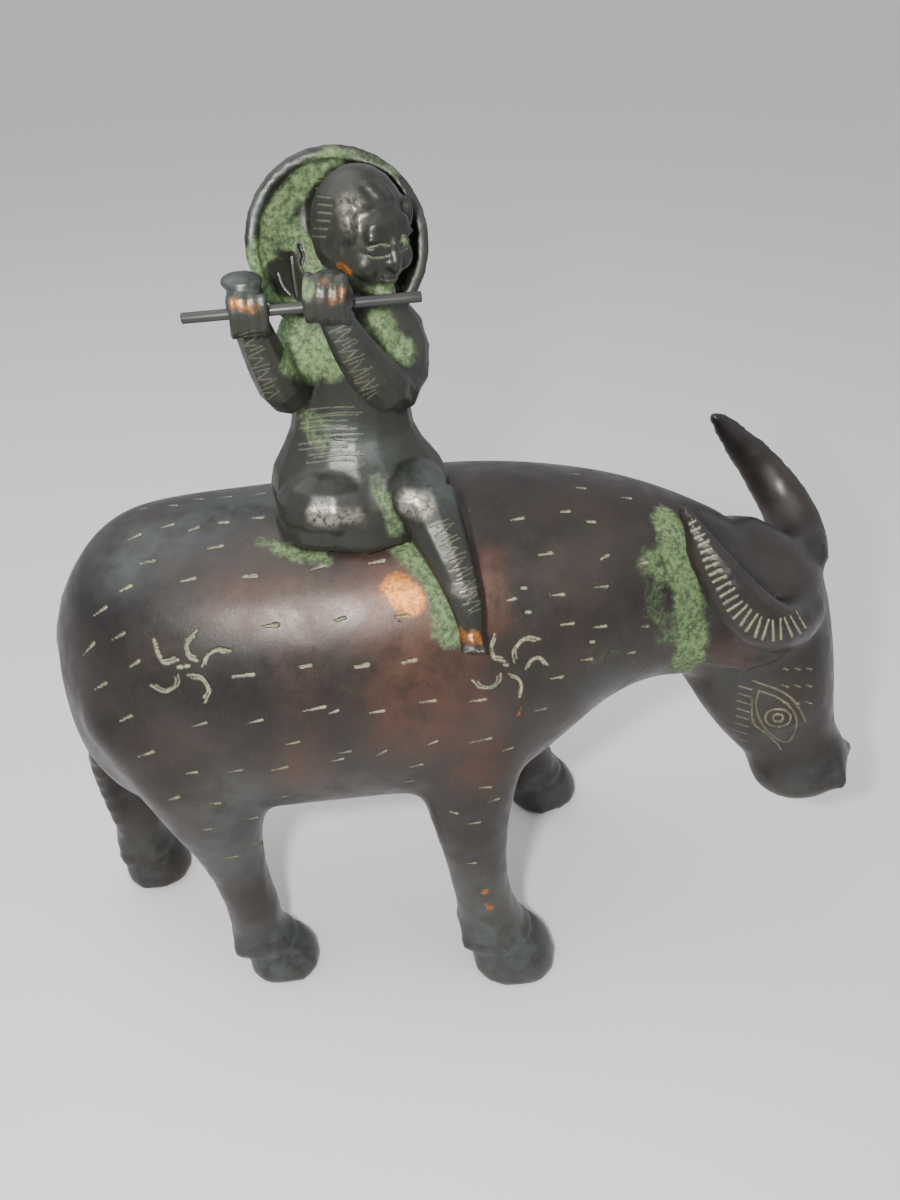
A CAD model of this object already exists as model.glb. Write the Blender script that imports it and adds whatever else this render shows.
import math

import bpy
import numpy as np
from mathutils import Matrix, Vector, kdtree
from mathutils.bvhtree import BVHTree


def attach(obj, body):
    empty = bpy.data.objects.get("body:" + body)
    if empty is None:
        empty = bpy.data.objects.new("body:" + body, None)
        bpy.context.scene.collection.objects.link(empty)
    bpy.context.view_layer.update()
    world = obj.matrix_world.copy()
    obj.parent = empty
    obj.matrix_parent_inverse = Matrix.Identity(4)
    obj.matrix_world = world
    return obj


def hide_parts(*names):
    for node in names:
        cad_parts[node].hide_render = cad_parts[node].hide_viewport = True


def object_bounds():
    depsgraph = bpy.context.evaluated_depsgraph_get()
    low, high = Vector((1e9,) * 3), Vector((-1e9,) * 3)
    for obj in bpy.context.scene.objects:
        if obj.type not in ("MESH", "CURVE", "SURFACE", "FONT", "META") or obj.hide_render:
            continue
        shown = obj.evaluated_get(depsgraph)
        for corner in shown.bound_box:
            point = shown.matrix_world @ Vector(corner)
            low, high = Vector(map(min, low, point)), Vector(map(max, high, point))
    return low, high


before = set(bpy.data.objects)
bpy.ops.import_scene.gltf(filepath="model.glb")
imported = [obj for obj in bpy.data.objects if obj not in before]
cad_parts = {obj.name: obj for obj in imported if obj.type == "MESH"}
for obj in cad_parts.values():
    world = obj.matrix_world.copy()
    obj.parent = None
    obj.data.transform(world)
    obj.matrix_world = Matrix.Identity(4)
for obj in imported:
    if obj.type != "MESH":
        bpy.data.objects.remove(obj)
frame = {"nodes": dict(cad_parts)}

scene = bpy.context.scene
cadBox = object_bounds()
mm = 0.001
drawingShift = Vector((-4.238, -5.760, 0.0))  # from the drawing's zero point to the frame's, mm

# The view of the photograph, in the drawing's millimetres and in pixels of a 900 x 1200 image
photoView = {
    "eye": (-25.96, -211.39, 259.13),
    "right": (0.9925, -0.1219, 0.0),
    "up": (0.0699, 0.5693, 0.8192),
    "ahead": (0.0998, 0.8130, -0.5736),
    "focus": 1050.0,
    "middle": (450.0, 600.0),
    "lens": 31.5,
}

studio = {
    "floorSize": 9.0,
    "floorColor": (0.74, 0.725, 0.715, 1.0),
    "skyColor": (0.93, 0.95, 1.0, 1.0),
    "skyStrength": 0.8,
    "keyPlace": (-60.0, -205.0, 268.0),
    "keySize": 0.02,
    "keyPower": 1.1,
    "softPlace": (-260.0, 60.0, 640.0),
    "softSize": 0.7,
    "softPower": 3.0,
    "sidePlace": (420.0, -180.0, 420.0),
    "sideSize": 0.5,
    "sidePower": 0.5,
}


def drawn(x, y, z):
    return (Vector((x, y, z)) + drawingShift) * mm


def toDrawing(points):
    return points / mm - np.array(drawingShift)


def deselectAll():
    if bpy.context.object and bpy.context.object.mode != "OBJECT":
        bpy.ops.object.mode_set(mode="OBJECT")
    bpy.ops.object.select_all(action="DESELECT")


def selectOnly(*things):
    deselectAll()
    for thing in things:
        thing.select_set(True)
    bpy.context.view_layer.objects.active = things[0]


def settle(thing):
    selectOnly(thing)
    bpy.ops.object.transform_apply(location=True, rotation=True, scale=True)


def makeCamera():
    right, up, ahead = (Vector(photoView[key]).normalized() for key in ("right", "up", "ahead"))
    deselectAll()
    bpy.ops.object.camera_add()
    camera = bpy.context.object
    camera.name = "photo_camera"
    turn = Matrix((right, up, -ahead)).transposed()
    camera.matrix_world = Matrix.Translation(drawn(*photoView["eye"])) @ turn.to_4x4()
    camera.data.lens = photoView["lens"]
    camera.data.sensor_width = 36.0
    camera.data.clip_start = 0.005
    camera.data.clip_end = 50.0
    scene.camera = camera


def pixelWay(u, v):
    right, up, ahead = (Vector(photoView[key]).normalized() for key in ("right", "up", "ahead"))
    across = (u - photoView["middle"][0]) / photoView["focus"]
    above = (photoView["middle"][1] - v) / photoView["focus"]
    return (ahead + right * across + up * above).normalized()


def addLamp(name, place, target, size, power, color):
    deselectAll()
    bpy.ops.object.light_add(type="AREA")
    lamp = bpy.context.object
    lamp.name = name
    lamp.data.shape = "DISK"
    lamp.data.size = size
    lamp.data.energy = power
    lamp.data.color = color
    lamp.location = drawn(*place)
    lamp.rotation_mode = "QUATERNION"
    lamp.rotation_quaternion = (drawn(*target) - lamp.location).to_track_quat("-Z", "Y")


def makeStudio():
    deselectAll()
    bpy.ops.mesh.primitive_plane_add(size=studio["floorSize"])
    floor = bpy.context.object
    floor.name = "paper_floor"
    paper = bpy.data.materials.new("plain_paper")
    paper.use_nodes = True
    shader = paper.node_tree.nodes["Principled BSDF"]
    shader.inputs["Base Color"].default_value = studio["floorColor"]
    shader.inputs["Roughness"].default_value = 0.85
    floor.data.materials.append(paper)
    sky = bpy.data.worlds.new("soft_room")
    sky.use_nodes = True
    sky.node_tree.nodes["Background"].inputs["Color"].default_value = studio["skyColor"]
    sky.node_tree.nodes["Background"].inputs["Strength"].default_value = studio["skyStrength"]
    scene.world = sky
    middle = (0.0, 0.0, 110.0)
    addLamp("key_lamp", studio["keyPlace"], middle, studio["keySize"], studio["keyPower"], (1.0, 0.97, 0.93))
    addLamp("soft_lamp", studio["softPlace"], middle, studio["softSize"], studio["softPower"], (0.96, 0.98, 1.0))
    addLamp("side_lamp", studio["sidePlace"], middle, studio["sideSize"], studio["sidePower"], (0.96, 0.98, 1.0))


def copyCast(node, name):
    # a CAD mesh is loose triangles, so the copy is merged first
    source = frame["nodes"][node] if isinstance(frame["nodes"], dict) else bpy.data.objects[node]
    copy = source.copy()
    copy.data = source.data.copy()
    copy.name = name
    copy.parent = None
    copy.matrix_world = source.matrix_world.copy()
    scene.collection.objects.link(copy)
    copy.data.materials.clear()
    selectOnly(copy)
    bpy.ops.object.transform_apply(location=True, rotation=True, scale=True)
    bpy.ops.object.mode_set(mode="EDIT")
    bpy.ops.mesh.select_all(action="SELECT")
    bpy.ops.mesh.remove_doubles(threshold=2e-6)
    bpy.ops.object.mode_set(mode="OBJECT")
    return copy


def addLump(at, radii, turn=None, rings=2):
    # one pellet of wax, pressed onto a model before it is smoothed
    deselectAll()
    bpy.ops.mesh.primitive_ico_sphere_add(subdivisions=rings, radius=1.0)
    lump = bpy.context.object
    size = Matrix.Diagonal((radii[0] * mm, radii[1] * mm, radii[2] * mm, 1.0))
    spin = turn.to_4x4() if turn else Matrix.Identity(4)
    lump.matrix_world = Matrix.Translation(drawn(*at)) @ spin @ size
    return lump


def joinLumps(main, lumps):
    deselectAll()
    for lump in lumps:
        lump.select_set(True)
    bpy.context.view_layer.objects.active = lumps[0]
    bpy.ops.object.transform_apply(location=True, rotation=True, scale=True)
    main.select_set(True)
    bpy.context.view_layer.objects.active = main
    bpy.ops.object.join()


def remesh(piece, size):
    selectOnly(piece)
    skin = piece.modifiers.new("one_skin", "REMESH")
    skin.mode = "VOXEL"
    skin.voxel_size = size * mm
    skin.adaptivity = 0.0
    bpy.ops.object.modifier_apply(modifier=skin.name)
    bpy.ops.object.mode_set(mode="EDIT")
    bpy.ops.mesh.select_all(action="SELECT")
    bpy.ops.mesh.quads_convert_to_tris()
    bpy.ops.object.mode_set(mode="OBJECT")


def places(piece):
    flat = np.empty(len(piece.data.vertices) * 3)
    piece.data.vertices.foreach_get("co", flat)
    return flat.reshape(-1, 3)


def setPlaces(piece, points):
    piece.data.vertices.foreach_set("co", points.ravel())
    piece.data.update()


def normals(piece):
    flat = np.empty(len(piece.data.vertices) * 3)
    piece.data.vertices.foreach_get("normal", flat)
    return flat.reshape(-1, 3)


def softenBy(piece, weights, rounds):
    # weights from 0 to 1 become a vertex group of the Smooth modifier
    group = piece.vertex_groups.new(name="soft")
    steps = np.round(np.clip(weights, 0, 1) * 20).astype(int)
    for step in range(1, 21):
        members = np.nonzero(steps == step)[0].tolist()
        if members:
            group.add(members, step / 20, "REPLACE")
    selectOnly(piece)
    smooth = piece.modifiers.new("soften", "SMOOTH")
    smooth.factor = 0.5
    smooth.iterations = rounds
    smooth.vertex_group = group.name
    bpy.ops.object.modifier_apply(modifier=smooth.name)
    piece.vertex_groups.clear()


def smoothStep(value):
    value = np.clip(value, 0.0, 1.0)
    return value * value * (3 - 2 * value)


def surfaceOf(piece):
    return BVHTree.FromObject(piece, bpy.context.evaluated_depsgraph_get())


def seenAt(tree, u, v):
    hit = tree.ray_cast(drawn(*photoView["eye"]), pixelWay(u, v))
    return hit[0]


def polyline(tree, pixels, step=0.5):
    # a chased line given by pixels of the photograph, laid on the surface that they show
    found = []
    for (u0, v0), (u1, v1) in zip(pixels, pixels[1:]):
        count = max(2, int(math.hypot(u1 - u0, v1 - v0) / (3.8 * step)))
        for i in range(count + 1):
            t = i / count
            point = seenAt(tree, u0 + (u1 - u0) * t, v0 + (v1 - v0) * t)
            if point is not None and (not found or (point - found[-1]).length > 0.1 * mm):
                if not found or (point - found[-1]).length < 4 * mm:
                    found.append(point)
    return found


def curved(pixels, count=12):
    # a smooth curve through the given pixels
    points = [np.array(p, float) for p in pixels]
    ends = [2 * points[0] - points[1]] + points + [2 * points[-1] - points[-2]]
    line = []
    for i in range(1, len(ends) - 2):
        a, b, c, d = ends[i - 1:i + 3]
        for k in range(count):
            t = k / count
            line.append(tuple(0.5 * (2 * b + (c - a) * t + (2 * a - 5 * b + 4 * c - d) * t * t
                                     + (3 * b - a - 3 * c + d) * t ** 3)))
    line.append(tuple(points[-1]))
    return line


def stroke(points, width, depth, fill=1.0, start=1.0):
    # start is the width at the first point, as a share of the width at the last
    return {"points": points, "width": width, "depth": depth, "fill": fill, "start": start}


def moved(line, change, tree):
    # a line copied to the other side of the figure and laid on the surface there
    points = []
    for point in line["points"]:
        hit = tree.find_nearest(change(point))
        if hit[0] is not None and hit[3] < 6 * mm:
            points.append(hit[0])
    return dict(line, points=points)


def refineNear(piece, strokes, rounds, reach=0.3, finestEdge=0.3):
    samples = []
    for line in strokes:
        samples += line["points"][::2] + line["points"][-1:]
    tree = kdtree.KDTree(len(samples))
    for i, point in enumerate(samples):
        tree.insert(point, i)
    tree.balance()
    for step in range(rounds):
        mesh = piece.data
        points = places(piece)
        distance = np.array([tree.find(p)[2] for p in points]) / mm
        corners = np.empty(len(mesh.polygons) * 3, int)
        mesh.polygons.foreach_get("vertices", corners)
        corners = corners.reshape(-1, 3)
        a, b, c = (points[corners[:, k]] for k in range(3))
        longest = np.max([np.linalg.norm(a - b, axis=1), np.linalg.norm(b - c, axis=1),
                          np.linalg.norm(c - a, axis=1)], axis=0) / mm
        near = distance[corners].min(axis=1) < reach + 0.4 * longest
        wanted = near & (longest > finestEdge)
        selectOnly(piece)
        bpy.context.tool_settings.mesh_select_mode = (False, False, True)
        mesh.vertices.foreach_set("select", np.zeros(len(points), bool))
        mesh.edges.foreach_set("select", np.zeros(len(mesh.edges), bool))
        mesh.polygons.foreach_set("select", wanted)
        bpy.ops.object.mode_set(mode="EDIT")
        bpy.ops.mesh.subdivide(number_cuts=1, smoothness=0.0)
        bpy.ops.mesh.select_all(action="SELECT")
        bpy.ops.mesh.quads_convert_to_tris()
        bpy.ops.object.mode_set(mode="OBJECT")


def carve(piece, strokes):
    points = places(piece)
    outward = normals(piece)
    down = np.zeros(len(points))
    up = np.zeros(len(points))
    cut = np.zeros(len(points))
    for line in strokes:
        if len(line["points"]) < 2:
            continue
        path = np.array([tuple(p) for p in line["points"]])
        reach = line["width"] * mm
        near = np.nonzero(((points > path.min(0) - reach) & (points < path.max(0) + reach)).all(1))[0]
        if not len(near):
            continue
        here = points[near]
        best = np.full(len(near), 1e9)
        along = np.zeros(len(near))
        total = len(path) - 1
        for i in range(total):
            a, b = path[i], path[i + 1]
            ab = b - a
            t = np.clip(((here - a) @ ab) / max(ab @ ab, 1e-18), 0, 1)
            gap = np.linalg.norm(here - (a + t[:, None] * ab), axis=1)
            closer = gap < best
            best[closer] = gap[closer]
            along[closer] = (i + t[closer]) / total
        half = line["width"] * mm * 0.5 * (line["start"] + (1 - line["start"]) * along)
        share = np.clip(1 - best / np.maximum(half, 1e-9), 0, 1)
        depth = line["depth"] * smoothStep(share * 1.5)
        if line["depth"] > 0:
            down[near] = np.maximum(down[near], depth)
        else:
            up[near] = np.minimum(up[near], depth)
        cut[near] = np.maximum(cut[near], line["fill"] * smoothStep(share * 1.9))
    setPlaces(piece, points - outward * ((down + up) * mm)[:, None])
    return cut


def paint(points, spots, tree, roll=1.0):
    # soft patches: each is a line of pixels, a radius in mm and a strength
    amount = np.zeros(len(points))
    for pixels, radius, strength in spots:
        path = [seenAt(tree, u, v) for u, v in pixels]
        path = np.array([tuple(p) for p in path if p is not None])
        if not len(path):
            continue
        reach = radius * mm * 1.7
        near = np.nonzero(((points > path.min(0) - reach) & (points < path.max(0) + reach)).all(1))[0]
        best = np.full(len(near), 1e9)
        for i in range(max(1, len(path) - 1)):
            a, b = path[i], path[min(i + 1, len(path) - 1)]
            ab = b - a
            t = np.clip(((points[near] - a) @ ab) / max(ab @ ab, 1e-18), 0, 1)
            best = np.minimum(best, np.linalg.norm(points[near] - (a + t[:, None] * ab), axis=1))
        amount[near] = np.maximum(amount[near], strength * smoothStep((1.7 - best / (radius * mm)) / 1.4))
    return amount


def setMask(piece, name, values):
    mask = piece.data.attributes.new(name, "FLOAT", "POINT")
    mask.data.foreach_set("value", np.asarray(values, dtype=np.float32))


def finishPiece(piece, node, material):
    selectOnly(piece)
    bpy.ops.object.shade_smooth()
    piece.data.materials.clear()
    piece.data.materials.append(material)
    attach(piece, "root")
    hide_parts(node)
    print(piece.name, len(piece.data.polygons), "triangles")


def newNode(tree, kind, values=None, **settings):
    node = tree.nodes.new(kind)
    for key, value in settings.items():
        setattr(node, key, value)
    for key, value in (values or {}).items():
        if isinstance(value, bpy.types.NodeSocket):
            tree.links.new(value, node.inputs[key])
        else:
            node.inputs[key].default_value = value
    return node


def mathNode(tree, operation, first, second=0.0, clamp=False):
    return newNode(tree, "ShaderNodeMath", {0: first, 1: second}, operation=operation, use_clamp=clamp).outputs[0]


def mixColor(tree, share, first, second):
    node = newNode(tree, "ShaderNodeMix", {0: share, 6: first, 7: second}, data_type="RGBA")
    return node.outputs[2]


def mixValue(tree, share, first, second):
    return newNode(tree, "ShaderNodeMix", {0: share, 2: first, 3: second}, data_type="FLOAT").outputs[0]


def noiseNode(tree, where, scale, detail=4.0, rough=0.6):
    return newNode(tree, "ShaderNodeTexNoise", {"Vector": where, "Scale": scale, "Detail": detail,
                                                "Roughness": rough}).outputs["Fac"]


def ramp(tree, value, low, high):
    return newNode(tree, "ShaderNodeMapRange", {0: value, 1: low, 2: high}, clamp=True,
                   interpolation_type="SMOOTHSTEP").outputs[0]


def makePatinaGroup():
    # dark patina with red-brown, verdigris, bare copper and paste left in the chasing
    tree = bpy.data.node_groups.new("agedBronze", "ShaderNodeTree")
    ports = [("Dark", "NodeSocketColor", (0.016, 0.0135, 0.012, 1)), ("Brown", "NodeSocketColor", (0.05, 0.033, 0.024, 1)),
             ("Warm", "NodeSocketFloat", 0.0), ("Green", "NodeSocketFloat", 0.0), ("Copper", "NodeSocketFloat", 0.0),
             ("Cut", "NodeSocketFloat", 0.0), ("Haze", "NodeSocketFloat", 0.0), ("Polish", "NodeSocketFloat", 0.0)]
    for name, kind, value in ports:
        port = tree.interface.new_socket(name, in_out="INPUT", socket_type=kind)
        port.default_value = value
    for name, kind in (("Color", "NodeSocketColor"), ("Roughness", "NodeSocketFloat"),
                       ("Metallic", "NodeSocketFloat"), ("Height", "NodeSocketFloat")):
        tree.interface.new_socket(name, in_out="OUTPUT", socket_type=kind)
    given = newNode(tree, "NodeGroupInput").outputs
    result = newNode(tree, "NodeGroupOutput")
    where = newNode(tree, "ShaderNodeTexCoord").outputs["Object"]
    brush = newNode(tree, "ShaderNodeMapping", {"Vector": where, "Scale": (1.0, 1.0, 0.09)}).outputs[0]
    broad = noiseNode(tree, where, 42.0, 5.0)
    cloud = noiseNode(tree, where, 150.0, 6.0, 0.7)
    fine = noiseNode(tree, where, 900.0, 5.0, 0.7)
    grain = noiseNode(tree, where, 2600.0, 3.0, 0.7)
    lines = noiseNode(tree, brush, 2300.0, 4.0, 0.7)
    color = mixColor(tree, mathNode(tree, "MULTIPLY", ramp(tree, broad, 0.3, 0.75), 0.75), given["Dark"], given["Brown"])
    color = mixColor(tree, mathNode(tree, "MULTIPLY", ramp(tree, lines, 0.5, 0.78), 0.32), color, (0.06, 0.05, 0.042, 1))
    warmNoise = mathNode(tree, "MULTIPLY", given["Warm"], ramp(tree, cloud, 0.1, 0.8))
    color = mixColor(tree, warmNoise, color, (0.085, 0.036, 0.02, 1))
    haze = mathNode(tree, "MULTIPLY", given["Haze"], ramp(tree, cloud, 0.28, 0.7))
    color = mixColor(tree, haze, color, (0.062, 0.078, 0.075, 1))
    speck = mathNode(tree, "MULTIPLY", ramp(tree, fine, 0.66, 0.74), 0.55)
    color = mixColor(tree, speck, color, (0.12, 0.11, 0.08, 1))
    uneven = mathNode(tree, "MULTIPLY_ADD", mathNode(tree, "SUBTRACT", cloud, 0.5), 1.5)
    tree.links.new(given["Green"], uneven.node.inputs[2])
    green = mathNode(tree, "MULTIPLY", ramp(tree, uneven, 0.28, 0.8), ramp(tree, given["Green"], 0.02, 0.2))
    moss = mixColor(tree, ramp(tree, fine, 0.36, 0.66), (0.03, 0.055, 0.022, 1), (0.13, 0.2, 0.08, 1))
    color = mixColor(tree, green, color, moss)
    bare = mathNode(tree, "MULTIPLY_ADD", mathNode(tree, "SUBTRACT", cloud, 0.5), 1.1)
    tree.links.new(given["Copper"], bare.node.inputs[2])
    bare = mathNode(tree, "MULTIPLY", ramp(tree, bare, 0.34, 0.7), ramp(tree, given["Copper"], 0.02, 0.2))
    copper = mixColor(tree, ramp(tree, fine, 0.35, 0.65), (0.19, 0.06, 0.015, 1), (0.42, 0.17, 0.04, 1))
    color = mixColor(tree, bare, color, copper)
    shine = mathNode(tree, "MULTIPLY", given["Polish"], ramp(tree, fine, 0.34, 0.62))
    color = mixColor(tree, shine, color, (0.34, 0.31, 0.26, 1))
    paste = mathNode(tree, "MULTIPLY", given["Cut"], ramp(tree, grain, 0.25, 0.5), True)
    color = mixColor(tree, paste, color, mixColor(tree, ramp(tree, cloud, 0.35, 0.6), (0.14, 0.17, 0.1, 1), (0.3, 0.29, 0.18, 1)))
    rough = mixValue(tree, ramp(tree, cloud, 0.3, 0.7), 0.33, 0.5)
    rough = mixValue(tree, shine, rough, 0.24)
    rough = mixValue(tree, mathNode(tree, "MAXIMUM", green, paste), rough, 0.8)
    metal = mixValue(tree, mathNode(tree, "MAXIMUM", green, paste), 0.35, 0.0)
    metal = mixValue(tree, mathNode(tree, "MAXIMUM", bare, shine), metal, 0.8)
    height = mathNode(tree, "MULTIPLY", lines, 0.35)
    height = mathNode(tree, "ADD", height, mathNode(tree, "MULTIPLY", fine, 0.4))
    height = mathNode(tree, "ADD", height, mathNode(tree, "MULTIPLY", green, 0.5))
    for name, socket in (("Color", color), ("Roughness", rough), ("Metallic", metal), ("Height", height)):
        tree.links.new(socket, result.inputs[name])
    return tree


def makeBronze(name, group, masks, dark, brown, bump):
    material = bpy.data.materials.new(name)
    material.use_nodes = True
    tree = material.node_tree
    shader = tree.nodes["Principled BSDF"]
    patina = newNode(tree, "ShaderNodeGroup", node_tree=group)
    patina.inputs["Dark"].default_value = dark
    patina.inputs["Brown"].default_value = brown
    for mask in masks:
        source = newNode(tree, "ShaderNodeAttribute", attribute_name=mask.lower() + "Mask")
        tree.links.new(source.outputs["Fac"], patina.inputs[mask])
    relief = newNode(tree, "ShaderNodeBump", {"Strength": bump, "Distance": 0.00012, "Height": patina.outputs["Height"]})
    for socket, source in (("Base Color", "Color"), ("Roughness", "Roughness"), ("Metallic", "Metallic")):
        tree.links.new(patina.outputs[source], shader.inputs[socket])
    tree.links.new(relief.outputs[0], shader.inputs["Normal"])
    shader.inputs["Specular IOR Level"].default_value = 0.5
    return material


headAxes = {
    "middle": (78.0, -5.0, 118.0),
    "down": (0.387, -0.206, -0.899),
    "front": (0.794, -0.422, 0.438),
    "side": (0.469, 0.883, 0.0),
}


def onHead(down, front, side):
    place = Vector(headAxes["middle"])
    for key, amount in (("down", down), ("front", front), ("side", side)):
        place += Vector(headAxes[key]) * amount
    return tuple(place)


def headTurn():
    # columns: side, front, up along the forehead
    side, front, down = (Vector(headAxes[key]) for key in ("side", "front", "down"))
    return Matrix((side, front, -down)).transposed()


def headNumbers(points):
    # head coordinates of points given in the drawing's millimetres
    away = points - np.array(headAxes["middle"])
    return [away @ np.array(headAxes[key]) for key in ("down", "front", "side")]


buffalo = {
    "voxel": 1.75,
    "softRounds": 26,
    "finestEdge": 0.5,
    "dashWidth": 0.82,
    "dashDepth": 0.36,
    # left end, right end: short wedge cuts, pointed left and blunt right
    "dashes": [
        (203.5, 549.6, 222.4, 545.5), (238.2, 578.2, 256.5, 576.1), (180, 581.8, 194.7, 578.2),
        (310.6, 570, 322.9, 565.9), (368.8, 563.9, 384, 560.8), (333, 621, 344.3, 618),
        (393.3, 618, 407.6, 615.9), (258.6, 627.1, 276.9, 625.1), (295.3, 668, 310.6, 664.9),
        (353.5, 666.9, 368.8, 663.9), (400.4, 662.9, 415.1, 659.8), (233, 676.5, 253.5, 674.1),
        (417.8, 703.1, 435.1, 700.6), (469.8, 701.6, 485.7, 699.6), (300.4, 711.8, 324.9, 706.7),
        (367.8, 713.3, 383.7, 710.8), (249.4, 518, 262.7, 517.3), (190, 498.6, 202.4, 498.6),
        (214, 523, 228, 522), (227.3, 772.8, 242.2, 770.2), (209.9, 803.8, 220.2, 803.5),
        (243, 820.4, 257.7, 817.9), (272.9, 800, 285.9, 796.4), (253.8, 845.3, 266.3, 840.3),
        (221.5, 859.4, 237.3, 856.6), (202.4, 830.4, 210.7, 829.6), (269.6, 771.5, 287, 767.4),
        (186, 774, 196.6, 772.3), (409, 767.9, 421.8, 764.9), (403.2, 782.8, 412.8, 781.5),
        (477.8, 788.1, 491.1, 787.3), (487.8, 803, 499, 798.9), (448.8, 812.1, 457.1, 813.8),
        (467.9, 824.2, 479.8, 822.6), (464.6, 864.4, 475.9, 863.2), (575, 487, 585, 488),
        (583.9, 521.7, 594.3, 521.7), (592.7, 587.4, 607, 586.3), (560, 625.3, 573.5, 623.4),
        (592.7, 627.7, 605.9, 626.1), (640.5, 627.2, 648, 626.6), (580.7, 660.4, 591.9, 659.1),
        (623, 654.8, 634.9, 652.4), (598.2, 560.8, 607.8, 555.2), (621, 497, 631, 498),
        (503.4, 601.5, 514.5, 598.5), (551, 595.5, 563, 594.2), (593, 588, 606, 586),
        (558.8, 626, 573, 623.5), (549, 679.2, 562.3, 677), (470, 743, 491, 738.5),
        (425, 746, 437, 741.5), (374.5, 757, 386, 751), (338, 753.6, 350.5, 751.5),
        (328, 714, 338, 710.5), (140, 563.5, 154, 560.5), (118, 592, 131, 585.5),
        (93, 616, 106, 607), (83, 655, 94, 643), (180, 581, 193, 577), (240.5, 578, 254, 576),
        (118, 722, 131, 716), (192, 727, 206, 723), (247, 723.5, 262, 720), (236, 678, 251, 674),
        (184, 775, 197, 771), (228, 773.5, 242, 769.5), (209, 806, 222, 802), (200, 832, 213, 828),
        (244, 821, 258, 817), (94, 690, 106, 683), (139, 757, 153, 752), (166, 802, 179, 797),
        (330, 762, 343, 759), (285, 745, 299, 742), (500, 752, 513, 748), (533, 712, 546, 709),
        (538, 555, 551, 553), (510, 520, 523, 518), (556, 512, 569, 511), (636, 565, 647, 562),
        (160, 528, 173, 524), (128, 540, 140, 534), (112, 640, 124, 633), (128, 668, 139, 661),
    ],
    "curlWidth": 0.6,
    "curlDepth": 0.28,
    "curls": [
        [(154.3, 638.5), (157.2, 651.8), (164.8, 663.3), (178.2, 659.5)],
        [(197.3, 629.8), (186.8, 642.3), (188.7, 655.7), (197.3, 660.5)],
        [(202.1, 666.2), (206.9, 655.7), (218.4, 649), (229.9, 650.9)],
        [(187.8, 674.8), (201.2, 676.7), (209.8, 690.1), (205, 702.6)],
        [(178.2, 674.8), (178.2, 684.4), (164.8, 692), (150.5, 685.3)],
        [(495.2, 633.7), (490.7, 647), (494, 658.2), (505.2, 661.6)],
        [(514.2, 662.7), (513, 651.5), (519.7, 641.5), (528.7, 637), (539.8, 639.2)],
        [(525.3, 669.4), (530.9, 660.4), (539.8, 657.1), (547.6, 664.9)],
        [(508.6, 673.8), (518.6, 678.3), (522, 687.2), (519.7, 697.3)],
        [(472.9, 680.5), (479.6, 687.2), (490.7, 688.3), (499.6, 681.7), (500.8, 673.8)],
    ],
    "dots": [(180, 667), (187, 666), (592.4, 642), (506, 665), (523.5, 588), (528, 612)],
    # middles of the radial cuts down the near horn, from tip to brow
    "hornPath": [(692.9, 521.9), (698, 532), (704, 543), (707, 553), (715, 571.7), (721.6, 581.5),
                 (731.4, 601), (737, 608.8), (744, 615.9), (756.7, 627), (770.7, 631.3), (784, 628.5),
                 (795, 625.7), (800.9, 618.7)],
    "hornCuts": 23,
    "hornCutShort": 7.0,
    "hornCutLong": 21.0,
    "hole": (433, 794.4),
}

eyeLines = {
    "iris": {"middle": (778, 718), "radii": (13, 9)},
    "pupil": {"middle": (778, 718), "radii": (5, 4)},
    "almond": [(759, 691), (776, 697), (790, 707), (797, 722), (788, 742), (770, 734), (759, 718), (756, 703), (759, 691)],
    "brow": [(753, 681), (784, 693), (799, 708), (806, 722)],
    "below": [(752, 700), (753, 722), (765, 733), (777, 744), (781, 750)],
}


def ovalPixels(middle, radii, count=22):
    turns = [2 * math.pi * i / count for i in range(count + 1)]
    return [(middle[0] + radii[0] * math.cos(a), middle[1] + radii[1] * math.sin(a)) for a in turns]


def hornLines(tree):
    # cuts stand square to the path and grow longer towards the brow
    path = [np.array(p, float) for p in buffalo["hornPath"]]
    lengths = np.cumsum([0] + [np.linalg.norm(b - a) for a, b in zip(path, path[1:])])
    lines = []
    for i in range(buffalo["hornCuts"]):
        t = i / (buffalo["hornCuts"] - 1)
        far = t * lengths[-1]
        k = min(int(np.searchsorted(lengths, far, side="right")) - 1, len(path) - 2)
        here = path[k] + (path[k + 1] - path[k]) * (far - lengths[k]) / (lengths[k + 1] - lengths[k])
        way = path[min(k + 2, len(path) - 1)] - path[max(k - 1, 0)]
        way = way / np.linalg.norm(way)
        across = np.array([-way[1], way[0]])
        half = 0.5 * (buffalo["hornCutShort"] + (buffalo["hornCutLong"] - buffalo["hornCutShort"]) * min(1, t * 1.4))
        a, b = here - across * half, here + across * half
        lines.append(stroke(polyline(tree, [tuple(a), tuple(b)], 0.3), 0.75, 0.3, 1.0, 0.7))
    return lines


def buffaloSoftness(points):
    at = toDrawing(points)
    weight = np.ones(len(at))
    legs = smoothStep((82 - at[:, 2]) / 22) * (at[:, 2] < 90)
    weight = weight * (1 - legs) + 0.34 * legs
    hooves = smoothStep((24 - at[:, 2]) / 8)
    weight = weight * (1 - hooves) + 0.16 * hooves
    down, front, side = headNumbers(at)
    head = smoothStep((at[:, 0] - 56) / 14) * (np.abs(side) < 40)
    weight = weight * (1 - head) + 0.26 * head
    horn = (down < 10) & (np.abs(side) > 9) & (at[:, 0] > 50) & (front > -12)
    ear = (np.abs(side) > 15.5) & (front < 0) & (at[:, 0] > 50) & (down > -10)
    weight[horn | ear] = 0.12
    tail = (at[:, 0] < -90) & (at[:, 2] < 112) & (at[:, 1] < 20)
    weight[tail] = 0.14
    return weight


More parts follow.
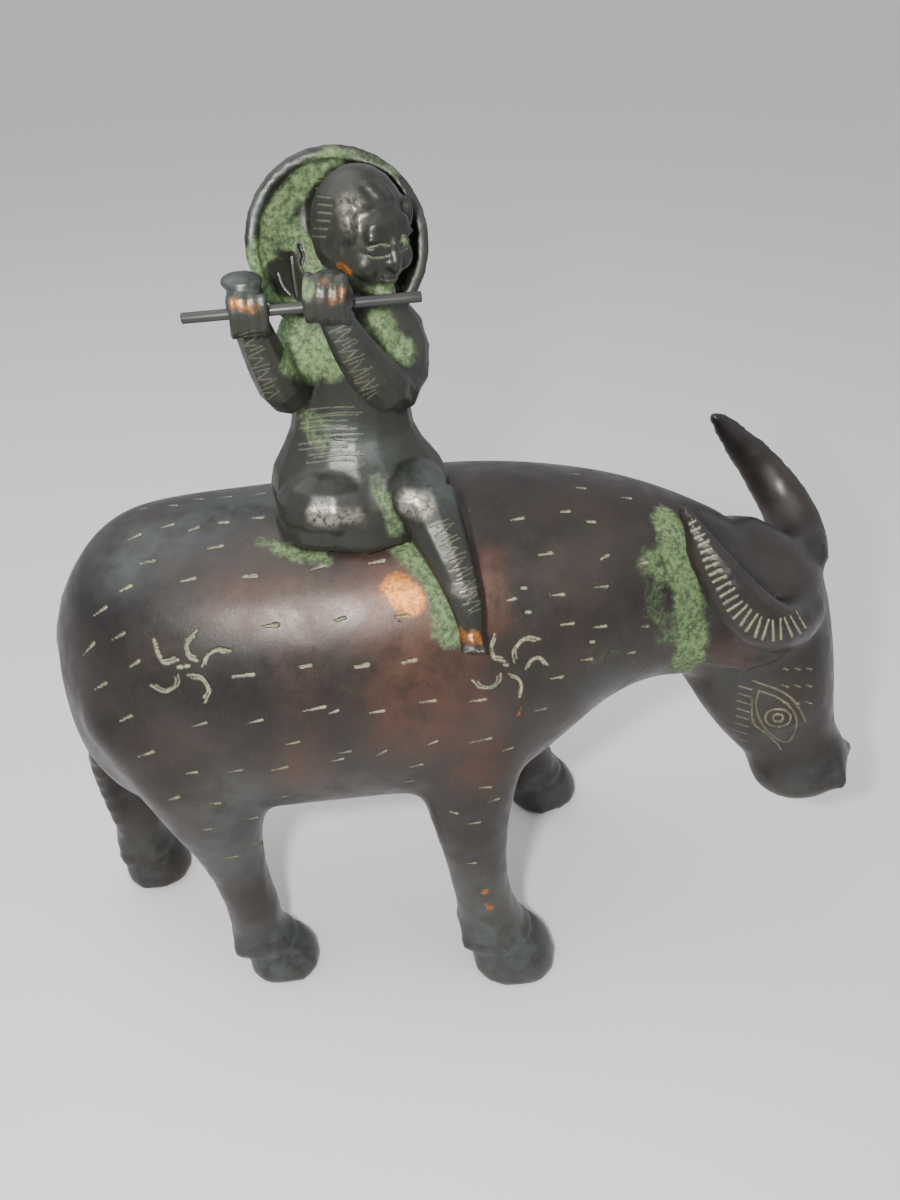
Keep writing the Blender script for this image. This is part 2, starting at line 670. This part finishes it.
def buffaloClay():
    turn = headTurn()
    lumps = []
    for way in (-1, 1):
        lumps.append(addLump(onHead(31.5, -1.0, 11.4 * way), (3.6, 3.0, 3.2), turn))  # brow over the eye
        lumps.append(addLump(onHead(37.6, -5.2, 13.2 * way), (2.9, 4.6, 4.2), turn))  # eyeball
        lumps.append(addLump(onHead(64.6, 1.6, 6.8 * way), (3.2, 2.6, 2.7), turn))  # nostril rim
        lumps.append(addLump(onHead(60, -12.0, 9.4 * way), (2.6, 5.4, 4.4), turn))  # cheek of the lips
    lumps.append(addLump(onHead(67.2, -2.0, 0), (6.2, 4.2, 3.0), turn))  # upper lip
    lumps.append(addLump(onHead(66.0, -13.4, 0), (6.0, 5.0, 3.4), turn))  # lower lip
    lumps.append(addLump(onHead(-6, -2.5, 0), (10.5, 5.2, 6.4), turn))  # crest between the horns
    return lumps


def shapeHooves(points, outward):
    # a low step where each fetlock ends over its hoof
    at = toDrawing(points)
    push = np.zeros(len(points))
    for x, y, turn, size in ((15.4, -24.8, -6, 1.03), (36, 39, 22, 1.0), (-49.8, -18, -4, 0.86), (-89.3, 21, 4, 0.86)):
        near = (np.abs(at[:, 0] - x) < 19) & (np.abs(at[:, 1] - y) < 18) & (at[:, 2] < 26)
        toe = np.array([math.cos(math.radians(turn)), math.sin(math.radians(turn))])
        ahead = (at[:, 0] - x) * toe[0] + (at[:, 1] - y) * toe[1]
        edge = (13.6 + 0.24 * ahead) * size
        above = at[:, 2] - edge
        lip = np.where(above >= 0, smoothStep(1 - above / 4.2), smoothStep(1 + above / 0.9))
        notch = smoothStep(1 - np.abs(above + 1.5) / 1.3)
        push[near] += (0.75 * lip - 0.6 * notch)[near]
    return points + outward * (push * mm)[:, None]


def buffaloStrokes(tree):
    near, head = [], []
    seen = set()
    for u0, v0, u1, v1 in buffalo["dashes"]:
        key = (round((u0 + u1) / 16), round((v0 + v1) / 16))
        if key in seen:
            continue
        seen.add(key)
        near.append(stroke(polyline(tree, [(u0, v0), (u1, v1)], 0.3), buffalo["dashWidth"], buffalo["dashDepth"], 1.0, 0.12))
    for pixels in buffalo["curls"]:
        outer = polyline(tree, curved(pixels), 0.4)
        near.append(stroke(outer, buffalo["curlWidth"], buffalo["curlDepth"], 1.0, 0.7))
        middle = np.mean(pixels, axis=0)
        inner = [tuple(middle + (np.array(p) - middle) * 0.72) for p in pixels]
        near.append(stroke(polyline(tree, curved(inner), 0.4), 0.5, 0.22, 0.9, 0.7))
    for u, v in buffalo["dots"]:
        near.append(stroke(polyline(tree, [(u - 1.5, v), (u + 1.5, v)], 0.2), 0.9, 0.3, 1.0))
    head += hornLines(tree)
    for key in ("iris", "pupil"):
        ring = ovalPixels(eyeLines[key]["middle"], eyeLines[key]["radii"])
        head.append(stroke(polyline(tree, ring, 0.25), 0.5, 0.3, 0.75))
    for key in ("almond", "brow", "below"):
        head.append(stroke(polyline(tree, curved(eyeLines[key], 6), 0.3), 0.6, 0.32, 0.55))
    for i in range(8):
        t = i / 7
        u, v = 752 - 6 * t, 690 + 52 * t
        head.append(stroke(polyline(tree, [(u - 13, v - 4), (u, v)], 0.3), 0.45, 0.2, 0.6))
    for i in range(9):
        u, v = 782 + (i % 3) * 12, 668 + (i // 3) * 17
        head.append(stroke(polyline(tree, [(u, v), (u + 6, v + 2)], 0.3), 0.5, 0.2, 0.8, 0.3))
    return near, head


def bodyMirror(point):
    at = point / mm - drawingShift
    return drawn(at.x, -at.y, at.z)


def headMirror(point):
    at = Vector(point) / mm - drawingShift - Vector(headAxes["middle"])
    down, front, side = (at.dot(Vector(headAxes[key])) for key in ("down", "front", "side"))
    return drawn(*onHead(down, front, -side))


buffaloPatches = {
    "green": [
        ([(668, 520), (676, 545), (684, 585), (690, 615), (692, 640), (682, 668)], 4.2, 0.95),
        ([(650, 560), (655, 600), (668, 640)], 4.0, 0.55),
        ([(262, 540), (278, 548), (300, 556), (325, 560)], 2.0, 0.62),
        ([(400, 548), (415, 556), (432, 580), (444, 612), (448, 640)], 2.8, 0.8),
        ([(455, 560), (450, 590)], 2.0, 0.4),
        ([(600, 650), (640, 662)], 5.0, 0.3),
    ],
    "copper": [
        ([(398, 588), (412, 600)], 3.4, 0.85),
        ([(388, 598), (404, 612)], 2.6, 0.45),
        ([(441, 846), (442, 857)], 1.3, 1.4),
        ([(488, 873), (488, 879)], 0.65, 1.3),
        ([(484, 890), (484, 894)], 0.65, 1.3),
        ([(488, 904), (489, 908)], 0.6, 1.2),
        ([(519, 707), (521, 714)], 0.6, 0.7),
    ],
    "warm": [
        ([(404, 594), (425, 660), (420, 720)], 12.0, 0.85),
        ([(300, 600), (300, 780)], 6.0, 0.45),
        ([(487, 560), (494, 620)], 3.6, 1.0),
        ([(470, 700), (480, 770)], 7.0, 0.6),
        ([(345, 610), (240, 600)], 7.0, 0.4),
        ([(725, 650), (740, 660)], 4.0, 0.6),
    ],
    "haze": [
        ([(285, 900), (280, 960)], 14.0, 0.9),
        ([(460, 900), (510, 960), (530, 970)], 13.0, 0.9),
        ([(545, 790), (560, 810)], 10.0, 0.6),
        ([(150, 860), (150, 890)], 10.0, 0.6),
        ([(230, 800), (240, 860)], 9.0, 0.6),
        ([(120, 560), (220, 510), (260, 500)], 8.0, 0.55),
        ([(560, 740), (600, 690)], 7.0, 0.5),
        ([(700, 600), (740, 690)], 8.0, 0.3),
        ([(830, 780), (800, 790)], 7.0, 0.4),
    ],
}


def makeBuffalo(group):
    piece = copyCast("buffalo", "cast_buffalo")
    joinLumps(piece, buffaloClay())
    remesh(piece, buffalo["voxel"])
    points = places(piece)
    softenBy(piece, buffaloSoftness(points), buffalo["softRounds"])
    setPlaces(piece, shapeHooves(places(piece), normals(piece)))
    print("buffalo skin", len(piece.data.polygons))
    tree = surfaceOf(piece)
    near, head = buffaloStrokes(tree)
    far = [moved(line, bodyMirror, tree) for line in near]
    farHead = [moved(line, headMirror, tree) for line in head]
    strokes = [line for line in near + head + far + farHead if len(line["points"]) > 1]
    refineNear(piece, strokes, 3, finestEdge=buffalo["finestEdge"])
    print("buffalo refined", len(piece.data.polygons))
    cut = carve(piece, strokes)
    points = places(piece)
    low = np.array(cadBox[0])
    points[:, 2] = np.maximum(points[:, 2], low[2])
    setPlaces(piece, points)
    tree = surfaceOf(piece)
    setMask(piece, "cutMask", cut)
    for name, spots in buffaloPatches.items():
        setMask(piece, name + "Mask", paint(points, spots, tree))
    bronze = makeBronze("dark_bronze", group, ("Warm", "Green", "Copper", "Cut", "Haze"),
                        (0.013, 0.0115, 0.011, 1), (0.04, 0.029, 0.023, 1), 0.5)
    finishPiece(piece, "buffalo", bronze)


face = {
    "middle": (-17.6, -7.6, 201.3),
    "turn": 36.0,
    "nod": 8.0,
    # middle and half sizes of each pellet in the head's own axes, face towards -Y
    "pellets": [
        ((0, -6.9, 4.0), (5.4, 2.0, 3.4)),     # forehead
        ((-3.3, -7.9, 2.9), (2.4, 0.9, 0.6)),  # brows
        ((3.3, -7.9, 2.9), (2.4, 0.9, 0.6)),
        ((-3.2, -7.5, 0.7), (1.9, 1.1, 1.0)),  # lids
        ((3.2, -7.5, 0.7), (1.9, 1.1, 1.0)),
        ((0, -8.9, 0.8), (0.75, 1.1, 3.0)),    # nose bridge
        ((0, -9.8, -1.5), (1.2, 1.25, 1.0)),   # nose tip
        ((-1.25, -9.1, -1.9), (0.75, 0.9, 0.75)),
        ((1.25, -9.1, -1.9), (0.75, 0.9, 0.75)),
        ((0, -8.7, -4.5), (2.2, 1.0, 0.55)),   # lips
        ((0, -8.6, -5.6), (1.8, 1.0, 0.6)),
        ((0, -7.3, -8.3), (2.5, 1.8, 1.8)),    # chin
        ((-4.1, -6.2, -2.4), (2.8, 2.4, 3.0)), # cheeks
        ((4.1, -6.2, -2.4), (2.8, 2.4, 3.0)),
        ((-7.9, 0.4, -0.6), (1.0, 1.9, 2.8)),  # ears
        ((7.9, 0.4, -0.6), (1.0, 1.9, 2.8)),
        ((-7.0, -3.4, 4.2), (1.5, 2.2, 3.6)),  # hair over the temples
        ((7.0, -3.4, 4.2), (1.5, 2.2, 3.6)),
        ((-7.6, -2.4, -0.8), (1.0, 1.6, 3.4)),
        ((7.6, -2.4, -0.8), (1.0, 1.6, 3.4)),
    ],
}

hands = {
    "right": {"middle": (-39.8, -23.0, 194.0), "radii": (3.9, 4.0, 5.4), "turn": 8, "from": 28, "to": -62,
              "fingers": (-2.7, -0.9, 0.9, 2.7)},
    "left": {"middle": (-24.8, -26.6, 196.4), "radii": (4.5, 4.0, 4.9), "turn": -14, "from": 62, "to": -48,
             "fingers": (-3.2, -1.1, 1.0, 3.1)},
}

rider = {
    "voxel": 0.5,
    "softRounds": 9,
    # threads of wax laid along lines of the photograph: pixels, radius at each end in mm
    "threads": [
        ([(309, 244), (305, 215), (308, 193), (324, 170), (347, 160.5), (365, 162), (388, 170), (402, 187),
          (409, 205)], 0.5, 0.5),
        ([(358, 190), (362, 197), (368, 203), (374, 206)], 0.75, 0.5),
        ([(367, 184), (373, 190), (379, 197), (384, 200)], 0.8, 0.5),
        ([(379, 183), (386, 189), (391, 195), (394, 199)], 0.75, 0.45),
        ([(351, 188), (354, 196), (358, 204), (364, 208)], 0.7, 0.45),
        ([(327, 322.5), (336, 321), (345, 318), (353, 313)], 0.45, 0.45),
    ],
    "waistLines": 13,
}

riderPatches = {
    "green": [
        ([(262, 255), (262, 275), (275, 290)], 4.0, 0.85),
        ([(270, 225), (285, 200), (300, 180), (330, 158)], 3.0, 0.8),
        ([(290, 235), (300, 250), (315, 262)], 3.2, 0.9),
        ([(340, 153), (370, 157), (395, 172)], 1.6, 0.6),
        ([(305, 290), (300, 300)], 2.4, 0.8),
        ([(282, 335), (300, 345), (322, 355)], 5.4, 1.0),
        ([(290, 362), (310, 370)], 3.4, 0.7),
        ([(382, 325), (392, 345), (400, 352)], 4.0, 0.75),
        ([(355, 283), (372, 290), (390, 288)], 2.0, 0.6),
        ([(308, 420), (318, 436)], 4.0, 0.45),
        ([(375, 480), (385, 500), (395, 530)], 2.2, 0.55),
        ([(272, 530), (290, 545), (310, 556)], 1.6, 0.7),
        ([(403, 238), (406, 243)], 0.8, 0.9),
    ],
    "bare": [
        ([(277, 272), (283, 288)], 1.9, 1.0),
        ([(292, 258), (296, 285), (300, 296)], 1.1, 1.0),
        ([(300, 245), (303, 262)], 0.7, 1.0),
    ],
    "copper": [
        ([(322, 288), (333, 300), (346, 296)], 2.4, 0.42),
        ([(236, 304), (254, 308)], 1.8, 0.5),
        ([(340, 266), (348, 271)], 1.0, 0.75),
        ([(463, 633), (478, 638)], 2.2, 0.62),
    ],
    "polish": [
        ([(318, 515), (330, 517)], 2.0, 1.0),
        ([(335, 517), (356, 516)], 1.4, 0.6),
        ([(408, 502), (422, 507)], 2.2, 1.0),
        ([(349, 205), (351, 222)], 2.0, 0.45),
        ([(455, 590), (470, 592)], 1.4, 0.35),
    ],
    "haze": [
        ([(345, 445), (360, 460)], 6.0, 0.7),
        ([(425, 475), (440, 490)], 4.5, 0.8),
        ([(330, 355), (345, 330)], 3.5, 0.4),
        ([(235, 290), (250, 285)], 3.4, 0.7),
        ([(250, 230), (262, 200), (300, 160), (336, 143), (380, 150), (415, 180), (424, 215)], 1.8, 0.6),
    ],
}


def faceTurn():
    return (Matrix.Rotation(math.radians(face["turn"]), 3, "Z") @ Matrix.Rotation(math.radians(face["nod"]), 3, "X"))


def riderClay(tree):
    turn = faceTurn()
    lumps = []
    for at, radii in face["pellets"]:
        place = Vector(face["middle"]) + turn @ Vector(at)
        lumps.append(addLump(tuple(place), radii, turn))
    for hand in hands.values():
        spin = Matrix.Rotation(math.radians(hand["turn"]), 3, "Z")
        for offset in hand["fingers"]:
            for i in range(8):
                angle = math.radians(hand["from"] + (hand["to"] - hand["from"]) * i / 7)
                out = Vector((offset, -hand["radii"][1] * math.cos(angle) * 0.98, hand["radii"][2] * 0.92 * math.sin(angle)))
                place = Vector(hand["middle"]) + spin @ out
                lumps.append(addLump(tuple(place), (1.02, 1.02, 1.02)))
    lumps.append(addLump((-40.2, -22.6, 198.4), (4.0, 3.6, 1.7)))
    for i, (x, size) in enumerate(((-1.9, 0.85), (-0.8, 0.85), (0.3, 0.9), (1.3, 0.95), (2.4, 1.15))):
        lumps.append(addLump((x, -38.2 - 0.1 * i, 123.9), (size * 0.62, 1.5, size * 0.8)))
    for pixels, first, last in rider["threads"]:
        path = polyline(tree, curved(pixels, 5), 0.45)
        for i, point in enumerate(path):
            size = first + (last - first) * i / max(1, len(path) - 1)
            at = Vector(point) / mm - drawingShift
            lumps.append(addLump(tuple(at), (size, size, size)))
    return lumps


def riderStrokes(tree):
    lines = []
    for start, end, half, count in (((339, 326), (372, 398), 12, 19), ((247, 330), (272, 398), 10, 16),
                                    ((440, 520), (478, 612), 12, 22)):
        a, b = np.array(start, float), np.array(end, float)
        way = (b - a) / np.linalg.norm(b - a)
        across = np.array([-way[1], way[0]])
        for i in range(count):
            middle = a + (b - a) * (i + 0.5) / count
            lean = 2.2 * math.sin(i * 2.4)
            p, q = middle - across * half * (0.7 + 0.3 * math.sin(i * 1.7)), middle + across * half * (0.7 + 0.3 * math.cos(i * 2.3))
            lines.append(stroke(polyline(tree, [tuple(p + [0, lean]), tuple(q - [0, lean])], 0.3), 0.34, 0.1, 0.3))
    for i in range(rider["waistLines"]):
        v = 408 + 4.4 * i + 1.2 * math.sin(i * 2.1)
        u = 306 + 9 * math.sin(i * 1.3)
        lines.append(stroke(polyline(tree, [(u, v + 2), (u + 26, v - 1), (u + 48, v - 1)], 0.3), 0.32, 0.09, 0.3))
    for i in range(11):
        v = 180 + 8.0 * i
        u = 313 + 5 * math.sin(i * 0.5)
        lines.append(stroke(polyline(tree, [(u, v), (u + 14, v + 1)], 0.3), 0.4, 0.16, 0.25))
    for pixels in ([(299.6, 245.6), (303.8, 256.6), (301.8, 262), (307, 276)], [(290.8, 256.6), (293.5, 280), (296.3, 296)],
                   [(277, 273), (282.6, 286.7), (289.4, 295)]):
        lines.append(stroke(polyline(tree, curved(pixels, 6), 0.3), 0.6, 0.3, 0.0))
    turn = faceTurn()
    for side in (-1, 1):
        for at in ([(1.2, 0.0), (2.2, -0.35), (3.3, -0.45), (4.4, -0.3), (5.1, 0.1)], [(1.3, 1.7), (3.2, 2.1), (5.0, 1.5)]):
            path = []
            for k in range(len(at) - 1):
                for j in range(6):
                    t = j / 6
                    x = (at[k][0] * (1 - t) + at[k + 1][0] * t) * side
                    z = at[k][1] * (1 - t) + at[k + 1][1] * t
                    start = Vector(face["middle"]) + turn @ Vector((x, -14.0, z))
                    hit = tree.ray_cast(drawn(*start), turn @ Vector((0, 1, 0)))
                    if hit[0] is not None:
                        path.append(hit[0])
            lines.append(stroke(path, 0.5, 0.22, 0.35))
    path = []
    for j in range(13):
        x = -2.2 + 4.4 * j / 12
        start = Vector(face["middle"]) + turn @ Vector((x, -14.0, -5.05 + 0.035 * x * x))
        hit = tree.ray_cast(drawn(*start), turn @ Vector((0, 1, 0)))
        if hit[0] is not None:
            path.append(hit[0])
    lines.append(stroke(path, 0.42, 0.22, 0.25))
    return [line for line in lines if len(line["points"]) > 1]


def makeRider(group):
    piece = copyCast("flute_player", "cast_flute_player")
    joinLumps(piece, riderClay(surfaceOf(piece)))
    remesh(piece, rider["voxel"])
    points = places(piece)
    at = toDrawing(points)
    weight = np.full(len(at), 0.75)
    nearFace = np.linalg.norm(at - np.array([-13.5, -13.0, 200.5]), axis=1) < 10
    weight[nearFace] = 0.3
    for hand in hands.values():
        weight[np.linalg.norm(at - np.array(hand["middle"]), axis=1) < 7.5] = 0.25
    weight[(at[:, 2] < 128) & (at[:, 1] < -33)] = 0.25
    softenBy(piece, weight, rider["softRounds"])
    print("rider skin", len(piece.data.polygons))
    tree = surfaceOf(piece)
    strokes = riderStrokes(tree)
    refineNear(piece, strokes, 1, 0.3)
    cut = carve(piece, strokes)
    points = places(piece)
    tree = surfaceOf(piece)
    setMask(piece, "cutMask", cut)
    bare = paint(points, riderPatches["bare"], tree)
    for name, spots in riderPatches.items():
        if name != "bare":
            amount = paint(points, spots, tree)
            setMask(piece, name + "Mask", amount * (1 - bare) if name == "green" else amount)
    bronze = makeBronze("green_black_bronze", group, ("Green", "Copper", "Cut", "Haze", "Polish"),
                        (0.013, 0.0145, 0.0115, 1), (0.032, 0.033, 0.025, 1), 0.6)
    finishPiece(piece, "flute_player", bronze)


flute = {
    "from": (-51.4, -24.6, 192.8),
    "to": (-8.2, -24.6, 195.0),
    "radius": 1.0,
    "bevel": 0.28,
    "sides": 48,
}


def makeFlute(group):
    start, end = drawn(*flute["from"]), drawn(*flute["to"])
    deselectAll()
    bpy.ops.mesh.primitive_cylinder_add(vertices=flute["sides"], radius=flute["radius"] * mm, depth=(end - start).length,
                                        location=(start + end) / 2,
                                        rotation=(end - start).to_track_quat("Z", "Y").to_euler())
    rod = bpy.context.object
    rod.name = "flute_rod"
    settle(rod)
    bevel = rod.modifiers.new("rounded_ends", "BEVEL")
    bevel.width = flute["bevel"] * mm
    bevel.segments = 3
    bevel.limit_method = "ANGLE"
    bpy.ops.object.modifier_apply(modifier=bevel.name)
    bronze = makeBronze("dark_rod", group, (), (0.022, 0.022, 0.022, 1), (0.045, 0.044, 0.04, 1), 0.35)
    bpy.ops.object.shade_smooth_by_angle(angle=math.radians(40))
    rod.data.materials.clear()
    rod.data.materials.append(bronze)
    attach(rod, "root")
    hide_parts("flute")


makeCamera()
makeStudio()
patinaGroup = makePatinaGroup()
print("studio ready")
makeBuffalo(patinaGroup)
print("buffalo ready")
makeRider(patinaGroup)
makeFlute(patinaGroup)
print("rider and flute ready")
